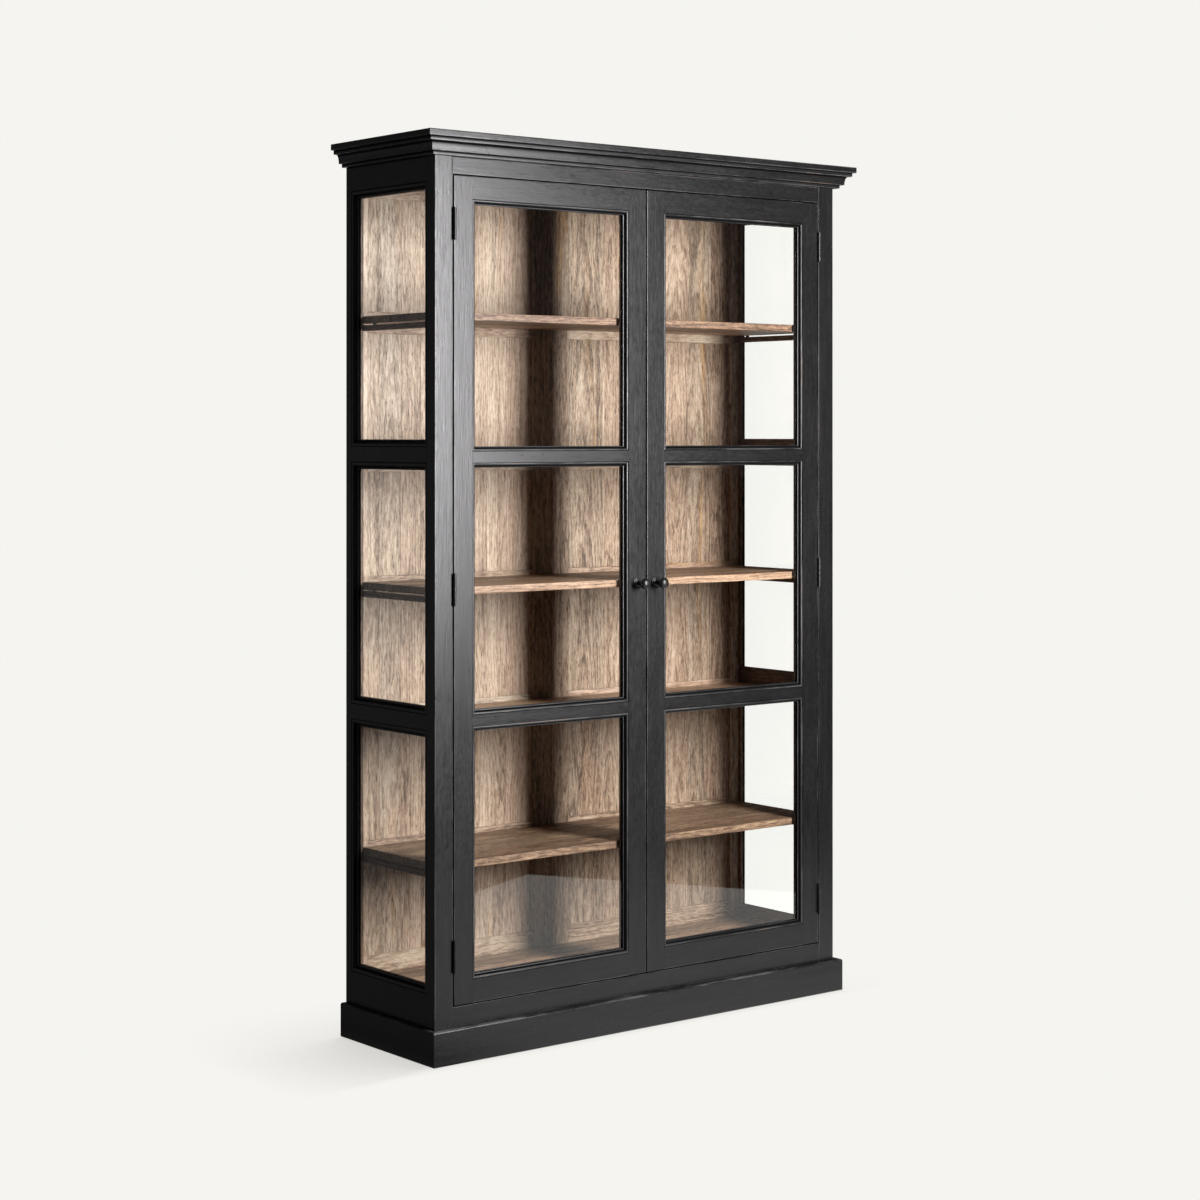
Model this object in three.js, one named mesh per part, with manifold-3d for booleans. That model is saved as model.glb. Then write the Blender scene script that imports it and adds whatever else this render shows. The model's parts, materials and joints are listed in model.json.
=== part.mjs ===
// Glazed display cabinet: a tall painted timber case with two glass doors,
// glazed sides, a plank back, five shelves, a stepped cornice and a plinth.
//
// Units are millimetres. +Z is up, the doors face -Y, +X is the viewer's right
// when standing in front of the doors. The origin is on the floor, at the
// middle of the bounding box.

import * as THREE from 'three';
import Module from 'manifold-3d';

const wasm = await Module();
wasm.setup();

// ---------------------------------------------------------------- sizes

const GAP = 0.3;            // clearance left between pieces that touch

const CASE_W = 1296;        // width over the side frames
const CASE_D = 383;         // depth over the corner posts
const HEIGHT = 2200;        // overall height

const PLINTH_H = 83;
const PLINTH_FRONT_OUT = 20;
const PLINTH_SIDE_OUT = 16;
const PLINTH_T = 32;
const PLINTH_ROUND = 5;

const CORNICE_H = 56;
const CORNICE_OUT = 45;     // overhang at the front and the sides
const CORNICE_IN = 30;      // how far the moulding reaches in over the case

const SIDE_T = 25;          // thickness of a side frame
const SIDE_FRONT_STILE = 33;
const SIDE_REAR_STILE = 23;
const SIDE_MOULD = 18;
const SIDE_TOP_SIGHT = 2067;
const SIDE_BOTTOM_SIGHT = 181;
const SIDE_RAIL_SIGHT = 73; // a middle rail between its two glass lines
const SIDE_RAIL_Z = [804, 1437];

const POST_W = 53;          // the corner post's width seen from the front
const FACE_T = 26;          // thickness of the face frame
const OPENING_Z0 = 131;     // door opening
const OPENING_Z1 = 2103;

const BOARD_T = 18;
const FLOOR_TOP = 150;
const SHELF_TOPS = [467, 797, 1121, 1434, 1777];
const SHELF_FRONT_SET = 30; // shelf front edge behind the case front
const LIFT_OUT_SHELVES = [0, 2, 4];

const CLEAT_W = 15;
const CLEAT_H = 14;
const BUTTON_R = 5;         // raised buttons that carry a lift-out shelf
const BUTTON_H = 4;
const BUTTON_INSET = 45;

const BACK_FACE = 350;      // face of the back battens behind the case front
const BATTEN_T = 8;
const BATTEN_RAIL_H = 54;
const BATTEN_OVER_SHELF = 13;
const PLANK_T = 12;
const BACK_JOINT_X = -35;   // the two plank panels meet left of centre
const BACK_STILE_W = 58;
const BACK_LEFT_SIGHT = -606;
const BACK_RIGHT_SIGHT = 591;
const BACK_JOINT_GAP = 1.2;

const DOOR_T = 25;
const DOOR_HINGE_GAP = 2.5;
const DOOR_MEET_GAP = 3;
const DOOR_END_GAP = 2;
const DOOR_HINGE_STILE = 54.5;
const DOOR_MEET_STILE = 56.5;
const DOOR_TOP_RAIL = 55;
const DOOR_BOTTOM_RAIL = 56;
const DOOR_MID_RAIL = 27;
const DOOR_MOULD = 12;

const GLASS_T = 4;
const GLASS_DEPTH = 12;     // from the outer face to the glass groove
const GROOVE_DEEP = 7;
const FILLET_DEEP = 8.2;    // depth of the moulding's inner edge

const HINGE_Z = [250, 1118, 1985];
const HINGE_H = 78;
const KNUCKLE_R = 4.25;
const PIN_R = 2;
const PIN_BORE_R = 2.06;
const LEAF_T = 0.95;
const LEAF_DEEP = 26;
const KNUCKLES = 5;
const ROUND_SEGMENTS = 16;  // sides of a hinge knuckle or pin

const KNOB_Z = 1112;
const KNOB_FROM_MEETING = 30;
const KNOB_SEGMENTS = 28;

const CATCH_FROM_MEETING = 45;
const CATCH_W = 40;
const CATCH_H = 14;
const CATCH_D = 20;
const STRIKE_W = 30;
const STRIKE_H = 12;
const STRIKE_T = 1.2;

// ---------------------------------------------------------------- derived

const HALF_W = CASE_W / 2;
const FRONT = -(CASE_D - CORNICE_OUT) / 2;
const BACK = FRONT + CASE_D;
const CASE_Z0 = PLINTH_H;
const CASE_Z1 = HEIGHT - CORNICE_H;
const INNER_X = HALF_W - SIDE_T;
const OPENING_X = HALF_W - POST_W;
const FACE_BACK = FRONT + FACE_T;
const BATTEN_Y = FRONT + BACK_FACE;
const SHELF_FRONT = FRONT + SHELF_FRONT_SET;
const SHELF_BACK = BATTEN_Y - GAP;

// ---------------------------------------------------------------- materials

const LOOKS = {
  black_paint: { color: [0.05, 0.05, 0.052], roughness: 0.42, metalness: 0 },
  case_wood: { color: [0.26, 0.17, 0.11], roughness: 0.6, metalness: 0 },
  shelf_wood: { color: [0.5, 0.37, 0.27], roughness: 0.55, metalness: 0 },
  back_wood: { color: [0.6, 0.49, 0.37], roughness: 0.62, metalness: 0 },
  glass: { color: [0.8, 0.87, 0.85], roughness: 0.03, metalness: 0 },
  black_iron: { color: [0.03, 0.03, 0.03], roughness: 0.38, metalness: 1 },
  zinc: { color: [0.6, 0.6, 0.6], roughness: 0.35, metalness: 1 },
  catch_plastic: { color: [0.16, 0.11, 0.08], roughness: 0.5, metalness: 0 },
};

function material(look) {
  const { color, roughness, metalness } = LOOKS[look];
  const made = new THREE.MeshStandardMaterial({ roughness, metalness });
  made.color.setRGB(color[0], color[1], color[2]);
  made.name = look;
  if (look === 'glass') {
    made.transparent = true;
    made.opacity = 0.2;
  }
  return made;
}

// ---------------------------------------------------------------- solids

// A closed three.js geometry as a solid, with its corners merged by position.
function solid(geometry) {
  const flat = geometry.index ? geometry.toNonIndexed() : geometry;
  const source = flat.attributes.position;
  const seen = new Map();
  const points = [];
  const triangles = [];
  for (let i = 0; i < source.count; i += 1) {
    const at = [source.getX(i), source.getY(i), source.getZ(i)];
    const key = at.map((value) => Math.round(value * 1e5)).join(',');
    if (!seen.has(key)) {
      seen.set(key, points.length / 3);
      points.push(...at);
    }
    triangles.push(seen.get(key));
  }
  const kept = [];
  for (let i = 0; i < triangles.length; i += 3) {
    const [a, b, c] = triangles.slice(i, i + 3);
    if (a !== b && b !== c && a !== c) kept.push(a, b, c);
  }
  return new wasm.Manifold(new wasm.Mesh({
    numProp: 3,
    vertProperties: new Float32Array(points),
    triVerts: new Uint32Array(kept),
  }));
}

function unite(pieces) {
  return pieces.reduce((whole, piece) => whole.add(piece));
}

function box(x0, x1, y0, y1, z0, z1) {
  const geometry = new THREE.BoxGeometry(x1 - x0, y1 - y0, z1 - z0);
  geometry.translate((x0 + x1) / 2, (y0 + y1) / 2, (z0 + z1) / 2);
  return solid(geometry);
}

// A prism with its outline in one plane, running from lo to hi along the third
// axis. Each point of the outline gives the plane's first axis, then its second.
function prism(outline, plane, lo, hi) {
  const shape = new THREE.Shape(outline.map(([a, b]) => new THREE.Vector2(a, b)));
  const geometry = new THREE.ExtrudeGeometry(shape, { depth: hi - lo, bevelEnabled: false });
  if (plane === 'xy') {
    geometry.translate(0, 0, lo);
  } else if (plane === 'xz') {
    geometry.rotateX(Math.PI / 2);
    geometry.translate(0, hi, 0);
  } else {
    const turn = new THREE.Matrix4().makeBasis(
      new THREE.Vector3(0, 1, 0),
      new THREE.Vector3(0, 0, 1),
      new THREE.Vector3(1, 0, 0),
    );
    geometry.applyMatrix4(turn);
    geometry.translate(lo, 0, 0);
  }
  return solid(geometry);
}

// A round bar standing along Z.
function rod(x, y, z0, z1, radius) {
  const geometry = new THREE.CylinderGeometry(radius, radius, z1 - z0, ROUND_SEGMENTS);
  geometry.rotateX(Math.PI / 2);
  geometry.translate(x, y, (z0 + z1) / 2);
  return solid(geometry);
}

// The sticking round a pane: how far the cut is wider than the glass line, at
// each depth below the outer face. A quirk, a bead, a steep step, a fillet,
// the reveal, then the groove that holds the glass.
function sticking(width, thickness) {
  const grow = width / DOOR_MOULD;
  const bead = [
    [0, 1.2], [0.8, 1.2], [1.2, 0.4], [2.6, 0.2], [4.4, 0.4], [5.9, 1.1], [7.3, 2.9],
    [8.4, 5.2], [9, 8],
  ];
  const cut = [[width, -1]];
  for (const [along, deep] of bead) cut.push([width - along * grow, deep]);
  cut.push([0, FILLET_DEEP]);
  cut.push([0, GLASS_DEPTH]);
  cut.push([GROOVE_DEEP, GLASS_DEPTH]);
  cut.push([GROOVE_DEEP, GLASS_DEPTH + GLASS_T + 2 * GAP]);
  cut.push([0, GLASS_DEPTH + GLASS_T + 2 * GAP]);
  cut.push([0, thickness + 1]);
  return cut;
}

// The same cut as an outline across an opening from lo to hi.
function cutOutline(cut, lo, hi, face, inward) {
  const near = cut.map(([wide, deep]) => [lo - wide, face + inward * deep]);
  const far = cut.map(([wide, deep]) => [hi + wide, face + inward * deep]);
  return near.concat(far.reverse());
}

const swap = (outline) => outline.map(([a, b]) => [b, a]);

// Cutter for a pane in a frame that faces -Y.
function frontCutter(pane, cut, face) {
  const [x0, x1, z0, z1] = pane;
  const reach = 60;
  const across = prism(cutOutline(cut, x0, x1, face, 1), 'xy', z0 - reach, z1 + reach);
  const upright = prism(swap(cutOutline(cut, z0, z1, face, 1)), 'yz', x0 - reach, x1 + reach);
  return across.intersect(upright);
}

// Cutter for a pane in a frame that faces -X (side -1) or +X (side +1).
function sideCutter(pane, cut, side) {
  const [y0, y1, z0, z1] = pane;
  const reach = 60;
  const face = side * HALF_W;
  const across = swap(cutOutline(cut, y0, y1, face, -side));
  const upright = swap(cutOutline(cut, z0, z1, face, -side));
  return prism(across, 'xy', z0 - reach, z1 + reach)
    .intersect(prism(upright, 'xz', y0 - reach, y1 + reach));
}

// ---------------------------------------------------------------- group

const cabinet = new THREE.Group();
cabinet.name = 'display_cabinet';

function put(name, shape, look) {
  const made = shape.getMesh();
  const count = made.vertProperties.length / made.numProp;
  const points = new Float32Array(count * 3);
  for (let i = 0; i < count; i += 1) {
    for (let k = 0; k < 3; k += 1) {
      points[i * 3 + k] = made.vertProperties[i * made.numProp + k];
    }
  }
  const geometry = new THREE.BufferGeometry();
  geometry.setAttribute('position', new THREE.BufferAttribute(points, 3));
  geometry.setIndex(Array.from(made.triVerts));
  geometry.computeVertexNormals();
  const mesh = new THREE.Mesh(geometry, material(look));
  mesh.name = name;
  cabinet.add(mesh);
}

const sideName = (side) => (side < 0 ? 'left' : 'right');

// ---------------------------------------------------------------- plinth

// Outline of a plinth board, out being its distance beyond the case face.
function plinthOutline(out) {
  const top = PLINTH_H - GAP;
  const outline = [[out, 0]];
  const steps = 4;
  for (let i = 0; i <= steps; i += 1) {
    const angle = (i / steps) * Math.PI / 2;
    outline.push([
      out - PLINTH_ROUND + PLINTH_ROUND * Math.cos(angle),
      top - PLINTH_ROUND + PLINTH_ROUND * Math.sin(angle),
    ]);
  }
  outline.push([out - PLINTH_T, top]);
  outline.push([out - PLINTH_T, 0]);
  return outline;
}

// Wedge that leaves only the front board's share of the two mitred corners.
function mitreFront(outX, outY, z0, z1) {
  const far = 400;
  const corner = [HALF_W + outX, FRONT - outY];
  return prism([
    [-corner[0] + GAP, corner[1]],
    [corner[0] - GAP, corner[1]],
    [corner[0] - GAP - far, corner[1] + far],
    [-corner[0] + GAP + far, corner[1] + far],
  ], 'xy', z0, z1);
}

// Wedge for a side board behind the same mitre.
function mitreSide(side, outX, outY, z0, z1) {
  const far = 400;
  const x = side * (HALF_W + outX);
  const y = FRONT - outY;
  return prism([
    [x, y + GAP],
    [x, BACK],
    [x - side * far, BACK],
    [x - side * far, y + GAP + far],
  ], 'xy', z0, z1);
}

function addPlinth() {
  const zEnd = PLINTH_H + 1;
  const frontOutline = plinthOutline(PLINTH_FRONT_OUT).map(([out, z]) => [FRONT - out, z]);
  const frontRun = prism(frontOutline, 'yz', -HALF_W - PLINTH_SIDE_OUT, HALF_W + PLINTH_SIDE_OUT);
  const frontShare = mitreFront(PLINTH_SIDE_OUT, PLINTH_FRONT_OUT, -1, zEnd);
  put('plinth_front', frontRun.intersect(frontShare), 'black_paint');
  for (const side of [-1, 1]) {
    const outline = plinthOutline(PLINTH_SIDE_OUT).map(([out, z]) => [side * (HALF_W + out), z]);
    const run = prism(outline, 'xz', FRONT - PLINTH_FRONT_OUT, BACK);
    const share = mitreSide(side, PLINTH_SIDE_OUT, PLINTH_FRONT_OUT, -1, zEnd);
    put(`plinth_${sideName(side)}`, run.intersect(share), 'black_paint');
  }
  const endX = HALF_W + PLINTH_SIDE_OUT - PLINTH_T - GAP;
  const rear = box(-endX, endX, BACK - PLINTH_T, BACK, 0, PLINTH_H - GAP);
  put('plinth_back', rear, 'black_paint');
}

// ---------------------------------------------------------------- cornice

// Outline of the cornice: two ledges, a cove, two ledges and the top fascia.
function corniceOutline() {
  const outline = [
    [-CORNICE_IN, GAP],
    [13, GAP],
    [13, 9],
    [22, 9],
  ];
  const coveRise = 22;
  const coveRun = 7;
  const steps = 5;
  for (let i = 1; i <= steps; i += 1) {
    const angle = (i / steps) * Math.PI / 2;
    outline.push([
      22 + coveRun * (1 - Math.cos(angle)),
      9 + coveRise * Math.sin(angle),
    ]);
  }
  outline.push([37, 31]);
  outline.push([37, 41]);
  outline.push([CORNICE_OUT, 41]);
  outline.push([CORNICE_OUT, CORNICE_H]);
  outline.push([-CORNICE_IN, CORNICE_H]);
  return outline.map(([out, up]) => [out, CASE_Z1 + up]);
}

function addCornice() {
  const outline = corniceOutline();
  const reach = HALF_W + CORNICE_OUT;
  const frontRun = prism(outline.map(([out, z]) => [FRONT - out, z]), 'yz', -reach, reach);
  const frontShare = mitreFront(CORNICE_OUT, CORNICE_OUT, CASE_Z1, HEIGHT + 1);
  put('cornice_front', frontRun.intersect(frontShare), 'black_paint');
  for (const side of [-1, 1]) {
    const profile = outline.map(([out, z]) => [side * (HALF_W + out), z]);
    const run = prism(profile, 'xz', FRONT - CORNICE_OUT, BACK);
    const share = mitreSide(side, CORNICE_OUT, CORNICE_OUT, CASE_Z1, HEIGHT + 1);
    put(`cornice_${sideName(side)}`, run.intersect(share), 'black_paint');
  }
  const coverX = HALF_W - CORNICE_IN - GAP;
  const coverY = FRONT + CORNICE_IN + GAP;
  const cover = box(-coverX, coverX, coverY, BACK, HEIGHT - BOARD_T, HEIGHT);
  const tail = box(-coverX, coverX, BACK - BOARD_T, BACK, CASE_Z1 + GAP, HEIGHT - BOARD_T + 1);
  put('cornice_cover', cover.add(tail), 'black_paint');
}

// ---------------------------------------------------------------- case

function addSide(side) {
  const y0 = FRONT + SIDE_FRONT_STILE + SIDE_MOULD;
  const y1 = BACK - SIDE_REAR_STILE - SIDE_MOULD;
  const half = SIDE_RAIL_SIGHT / 2;
  const [lower, upper] = SIDE_RAIL_Z;
  const panes = [
    [y0, y1, SIDE_BOTTOM_SIGHT, lower - half],
    [y0, y1, lower + half, upper - half],
    [y0, y1, upper + half, SIDE_TOP_SIGHT],
  ];
  const outer = side * HALF_W;
  const inner = side * INNER_X;
  const post = side * OPENING_X;
  const slab = box(
    Math.min(outer, inner), Math.max(outer, inner), FRONT, BACK, CASE_Z0, CASE_Z1,
  );
  const stile = box(
    Math.min(outer, post), Math.max(outer, post), FRONT, FACE_BACK, CASE_Z0, CASE_Z1,
  );
  const cut = sticking(SIDE_MOULD, SIDE_T);
  let frame = slab.add(stile);
  for (const pane of panes) frame = frame.subtract(sideCutter(pane, cut, side));
  const name = sideName(side);
  put(`side_frame_${name}`, frame, 'black_paint');

  const lip = GROOVE_DEEP - GAP;
  const glassOuter = side * (HALF_W - GLASS_DEPTH - GAP);
  const glassInner = glassOuter - side * GLASS_T;
  const labels = ['lower', 'middle', 'upper'];
  panes.forEach(([p0, p1, q0, q1], index) => {
    const glass = box(
      Math.min(glassOuter, glassInner), Math.max(glassOuter, glassInner),
      p0 - lip, p1 + lip, q0 - lip, q1 + lip,
    );
    put(`side_glass_${name}_${labels[index]}`, glass, 'glass');
  });
}

function addFaceRails() {
  const x = OPENING_X - GAP;
  put('face_rail_top', box(-x, x, FRONT, FACE_BACK, OPENING_Z1, CASE_Z1), 'black_paint');
  put('face_rail_bottom', box(-x, x, FRONT, FACE_BACK, CASE_Z0, OPENING_Z0), 'black_paint');
}

function addBoards() {
  const x = INNER_X - GAP;
  const y0 = FACE_BACK + GAP;
  put('floor_board', box(-x, x, y0, SHELF_BACK, FLOOR_TOP - BOARD_T, FLOOR_TOP), 'shelf_wood');
  put('top_board', box(-x, x, y0, SHELF_BACK, CASE_Z1 - BOARD_T, CASE_Z1), 'case_wood');
}

// Battens and planks of the back. The planks stand behind the battens.
function addBack() {
  const x = INNER_X - GAP;
  const y1 = BATTEN_Y + BATTEN_T;
  const z0 = CASE_Z0;
  const z1 = CASE_Z1;
  const stiles = [
    [-x, BACK_LEFT_SIGHT],
    [BACK_JOINT_X - BACK_STILE_W, BACK_JOINT_X + BACK_STILE_W],
    [BACK_RIGHT_SIGHT, x],
  ];
  const pieces = stiles.map(([a, b]) => box(a, b, BATTEN_Y, y1, z0, z1));
  const rails = SHELF_TOPS.map((top) => [
    top + BATTEN_OVER_SHELF - BATTEN_RAIL_H,
    top + BATTEN_OVER_SHELF,
  ]);
  rails.push([z0, FLOOR_TOP + 45]);
  rails.push([z1 - 72, z1]);
  for (const [a, b] of rails) pieces.push(box(-x, x, BATTEN_Y, y1, a, b));
  put('back_battens', unite(pieces), 'back_wood');

  const plankY = y1 + GAP;
  const half = BACK_JOINT_GAP / 2;
  const left = box(-x, BACK_JOINT_X - half, plankY, plankY + PLANK_T, z0, z1);
  const right = box(BACK_JOINT_X + half, x, plankY, plankY + PLANK_T, z0, z1);
  put('back_planks_left', left, 'back_wood');
  put('back_planks_right', right, 'back_wood');
}

function addShelves() {
  const x = INNER_X - 2;
  SHELF_TOPS.forEach((top, index) => {
    const shelf = box(-x, x, SHELF_FRONT, SHELF_BACK, top - BOARD_T, top);
    put(`shelf_${index + 1}`, shelf, 'shelf_wood');
  });
  for (const index of LIFT_OUT_SHELVES) {
    const under = SHELF_TOPS[index] - BOARD_T - GAP;
    for (const side of [-1, 1]) {
      const outer = side * (INNER_X - GAP);
      const inner = outer - side * CLEAT_W;
      const x0 = Math.min(outer, inner);
      const x1 = Math.max(outer, inner);
      const top = under - BUTTON_H;
      const bar = box(x0, x1, SHELF_FRONT, SHELF_BACK, top - CLEAT_H, top);
      const xMid = (x0 + x1) / 2;
      const buttons = [SHELF_FRONT + BUTTON_INSET, SHELF_BACK - BUTTON_INSET]
        .map((y) => rod(xMid, y, top - 1, under, BUTTON_R));
      put(`cleat_${sideName(side)}_${index + 1}`, unite([bar, ...buttons]), 'case_wood');
    }
  }
}

// ---------------------------------------------------------------- doors

function addKnob(side) {
  const x = side * KNOB_FROM_MEETING;
  const profile = [
    [0, 0], [15, 0], [15, 1.6], [13.5, 2.8], [8, 3.4], [5.5, 5], [5, 9], [5, 18],
    [6.2, 20.5], [9.5, 22.5], [12.6, 25.2], [14, 28.6], [14, 31.4], [12.8, 34.8],
    [10.2, 37.6], [6.5, 39.6], [2.6, 40.6], [0, 40.8],
  ];
  const curve = profile.map(([radius, out]) => new THREE.Vector2(radius, out));
  const geometry = new THREE.LatheGeometry(curve, KNOB_SEGMENTS);
  geometry.rotateX(Math.PI);
  geometry.translate(x, FRONT - GAP, KNOB_Z);
  put(`knob_${sideName(side)}`, solid(geometry), 'black_iron');
}

function addHinges(side) {
  const name = sideName(side);
  const axisX = side * (OPENING_X - DOOR_HINGE_GAP / 2);
  const axisY = FRONT - KNUCKLE_R - 0.25;
  const step = HINGE_H / KNUCKLES;
  const labels = ['lower', 'middle', 'upper'];
  HINGE_Z.forEach((zMid, index) => {
    const z0 = zMid - HINGE_H / 2;
    const span = (k) => [z0 + k * step + GAP / 2, z0 + (k + 1) * step - GAP / 2];
    const spans = Array.from({ length: KNUCKLES }, (_, k) => span(k));
    const onFrame = spans.filter((_, k) => k % 2 === 0);
    const onDoor = spans.filter((_, k) => k % 2 === 1);
    const plate = (toward) => {
      const a = axisX + toward * 0.1;
      const b = a + toward * LEAF_T;
      return box(Math.min(a, b), Math.max(a, b), axisY, axisY + LEAF_DEEP, z0, z0 + HINGE_H);
    };
    const clear = (list) => list.map(([a, b]) => (
      rod(axisX, axisY, a - GAP, b + GAP, KNUCKLE_R + 0.35)
    ));
    const knuckles = (list) => list.map(([a, b]) => rod(axisX, axisY, a, b, KNUCKLE_R));

    const pin = rod(axisX, axisY, z0 + 1, z0 + HINGE_H - 1, PIN_R);
    const framePlate = plate(side).subtract(unite(clear(onDoor)));
    const frameLeaf = unite([framePlate, ...knuckles(onFrame), pin]);
    put(`hinge_${name}_${labels[index]}_case_leaf`, frameLeaf, 'black_iron');

    const bore = rod(axisX, axisY, z0 - 5, z0 + HINGE_H + 5, PIN_BORE_R);
    const doorPlate = plate(-side).subtract(unite(clear(onFrame)));
    const doorLeaf = unite([doorPlate, ...knuckles(onDoor)]).subtract(bore);
    put(`hinge_${name}_${labels[index]}_door_leaf`, doorLeaf, 'black_iron');
  });
}

function addDoor(side) {
  const name = sideName(side);
  const hingeEdge = side * (OPENING_X - DOOR_HINGE_GAP);
  const meetEdge = side * DOOR_MEET_GAP / 2;
  const x0 = Math.min(hingeEdge, meetEdge);
  const x1 = Math.max(hingeEdge, meetEdge);
  const z0 = OPENING_Z0 + DOOR_END_GAP;
  const z1 = OPENING_Z1 - DOOR_END_GAP;
  const leftStile = side < 0 ? DOOR_HINGE_STILE : DOOR_MEET_STILE;
  const rightStile = side < 0 ? DOOR_MEET_STILE : DOOR_HINGE_STILE;
  const p0 = x0 + leftStile + DOOR_MOULD;
  const p1 = x1 - rightStile - DOOR_MOULD;
  const faceLow = z0 + DOOR_BOTTOM_RAIL;
  const faceHigh = z1 - DOOR_TOP_RAIL;
  const pitch = (faceHigh - faceLow + DOOR_MID_RAIL) / 3;
  const labels = ['lower', 'middle', 'upper'];
  const panes = labels.map((_, k) => [
    p0,
    p1,
    faceLow + k * pitch + DOOR_MOULD,
    faceLow + (k + 1) * pitch - DOOR_MID_RAIL - DOOR_MOULD,
  ]);
  const cut = sticking(DOOR_MOULD, DOOR_T);
  let frame = box(x0, x1, FRONT, FRONT + DOOR_T, z0, z1);
  for (const pane of panes) frame = frame.subtract(frontCutter(pane, cut, FRONT));
  put(`door_frame_${name}`, frame, 'black_paint');

  const lip = GROOVE_DEEP - GAP;
  const glassY = FRONT + GLASS_DEPTH + GAP;
  panes.forEach(([a, b, c, d], k) => {
    const glass = box(a - lip, b + lip, glassY, glassY + GLASS_T, c - lip, d + lip);
    put(`door_glass_${name}_${labels[k]}`, glass, 'glass');
  });
  addKnob(side);
  addHinges(side);
  addCatch(side);
}

// Magnetic catch on the upper fixed shelf, with its plate behind a door rail.
function addCatch(side) {
  const name = sideName(side);
  const x = side * CATCH_FROM_MEETING;
  const z = SHELF_TOPS[3] + GAP;
  const doorBack = FRONT + DOOR_T;
  const plateY = doorBack + GAP;
  const plate = box(
    x - STRIKE_W / 2, x + STRIKE_W / 2, plateY, plateY + STRIKE_T, z + 1, z + 1 + STRIKE_H,
  );
  put(`catch_plate_${name}`, plate, 'zinc');
  const catchY = plateY + STRIKE_T + GAP;
  const body = box(
    x - CATCH_W / 2, x + CATCH_W / 2, catchY, catchY + CATCH_D, z, z + CATCH_H,
  );
  put(`catch_body_${name}`, body, 'catch_plastic');
}

// ---------------------------------------------------------------- assembly

addPlinth();
for (const side of [-1, 1]) addSide(side);
addFaceRails();
addBoards();
addBack();
addShelves();
addCornice();
for (const side of [-1, 1]) addDoor(side);

export default cabinet;
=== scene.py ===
"""Display cabinet: the visual model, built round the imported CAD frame.

Metres, +Z up, the doors face -Y. Sizes come from the boxes of the CAD nodes and
from the named constants below. Profiles are drawn in millimetres.
"""
import json
import math
import random

import bmesh
import bpy
from mathutils import Euler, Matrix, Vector


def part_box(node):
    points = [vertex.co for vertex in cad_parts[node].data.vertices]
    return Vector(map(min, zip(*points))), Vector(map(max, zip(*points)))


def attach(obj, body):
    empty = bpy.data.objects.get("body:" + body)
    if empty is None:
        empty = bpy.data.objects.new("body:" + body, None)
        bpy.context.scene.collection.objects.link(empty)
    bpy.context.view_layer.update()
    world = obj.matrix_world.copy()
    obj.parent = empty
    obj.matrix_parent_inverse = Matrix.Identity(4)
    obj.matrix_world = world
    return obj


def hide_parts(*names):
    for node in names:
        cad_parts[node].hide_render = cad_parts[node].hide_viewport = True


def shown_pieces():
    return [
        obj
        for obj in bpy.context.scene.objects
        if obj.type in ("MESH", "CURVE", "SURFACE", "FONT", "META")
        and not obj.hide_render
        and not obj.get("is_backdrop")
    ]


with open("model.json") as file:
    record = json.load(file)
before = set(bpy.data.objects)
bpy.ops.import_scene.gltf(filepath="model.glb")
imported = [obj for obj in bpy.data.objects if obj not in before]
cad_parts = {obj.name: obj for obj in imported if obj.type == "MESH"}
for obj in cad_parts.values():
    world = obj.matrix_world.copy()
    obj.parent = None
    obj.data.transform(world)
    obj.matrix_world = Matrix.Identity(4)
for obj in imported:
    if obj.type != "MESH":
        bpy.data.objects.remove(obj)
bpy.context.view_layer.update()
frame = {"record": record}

RNG = random.Random(4117)
MM = 0.001

# ------------------------------------------------------------------ sizes

LIP = 6.7 * MM            # how far a pane reaches into its frame
DOOR_MOULD = 12 * MM
SIDE_MOULD = 18 * MM
GLASS_DEPTH = 12 * MM
GLASS_T = 4.6 * MM        # room for the pane between moulding and bead
SUPPORT = 2.6 * MM        # distance of a wear loop's clean side from its edge
TIGHT = 0.12 * MM         # edge rounding where two boards butt
ARC_MIDDLE = 0.42         # middle of a corner's rounding, in radii from the square corner
PLINTH_T = 32 * MM
PLINTH_ROUND = 5 * MM     # radius of the plinth's top edge
CORNICE_IN = 30 * MM
SIDE_INNER = 25 * MM      # thickness of a side frame
COVER_T = 18 * MM
RAIL_LAP = 1.2 * MM       # how far a face rail runs into the rounding of the post
CLEAT_BUTTON = (5 * MM, 4 * MM, 45 * MM)    # radius, height, distance from the end
PLANK_WIDTHS = (55, 98)   # widths of the back's planks, in millimetres
PLANK_LEAST = 45 * MM
LIGHT_PLANKS_X = -0.38    # left of this the back's planks are of a middle tone
BATTEN_OUTER = (-606 * MM, 591 * MM)        # inner edges of the outer back stiles
BATTEN_MIDDLE = 58 * MM   # from the back's joint to the far edge of a middle stile
BATTEN_JOINT = 0.5 * MM
BATTEN_RAIL = 54 * MM
BATTEN_OVER_SHELF = 13 * MM
BATTEN_OVER_FLOOR = 45 * MM
BATTEN_TOP = 72 * MM
KNUCKLE_R = 4.25 * MM
KNUCKLE_RIM = 0.5 * MM
KNUCKLE_GAP = 0.15 * MM
LEAF = (0.1 * MM, 1.05 * MM)                # near and far face of a leaf from the axis
KNUCKLE_WEB = (1 * MM, 6 * MM)              # from the axis back, what joins knuckle and leaf
LEAF_START = 4.8 * MM     # from the axis back to the leaf's front edge
SCREWS = ((-27, 17), (0, 19), (27, 17))     # up from the hinge's middle, back from its axis
CATCH_POLES = (-8, 2)     # left edges of a catch's two pole plates, from its middle
CATCH_POLE = (5 * MM, 4 * MM, 2 * MM)       # width, depth, distance from top and bottom

CASE = "case"
SIDES = (("left", -1), ("right", 1))
LEVELS = ("lower", "middle", "upper")


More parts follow.
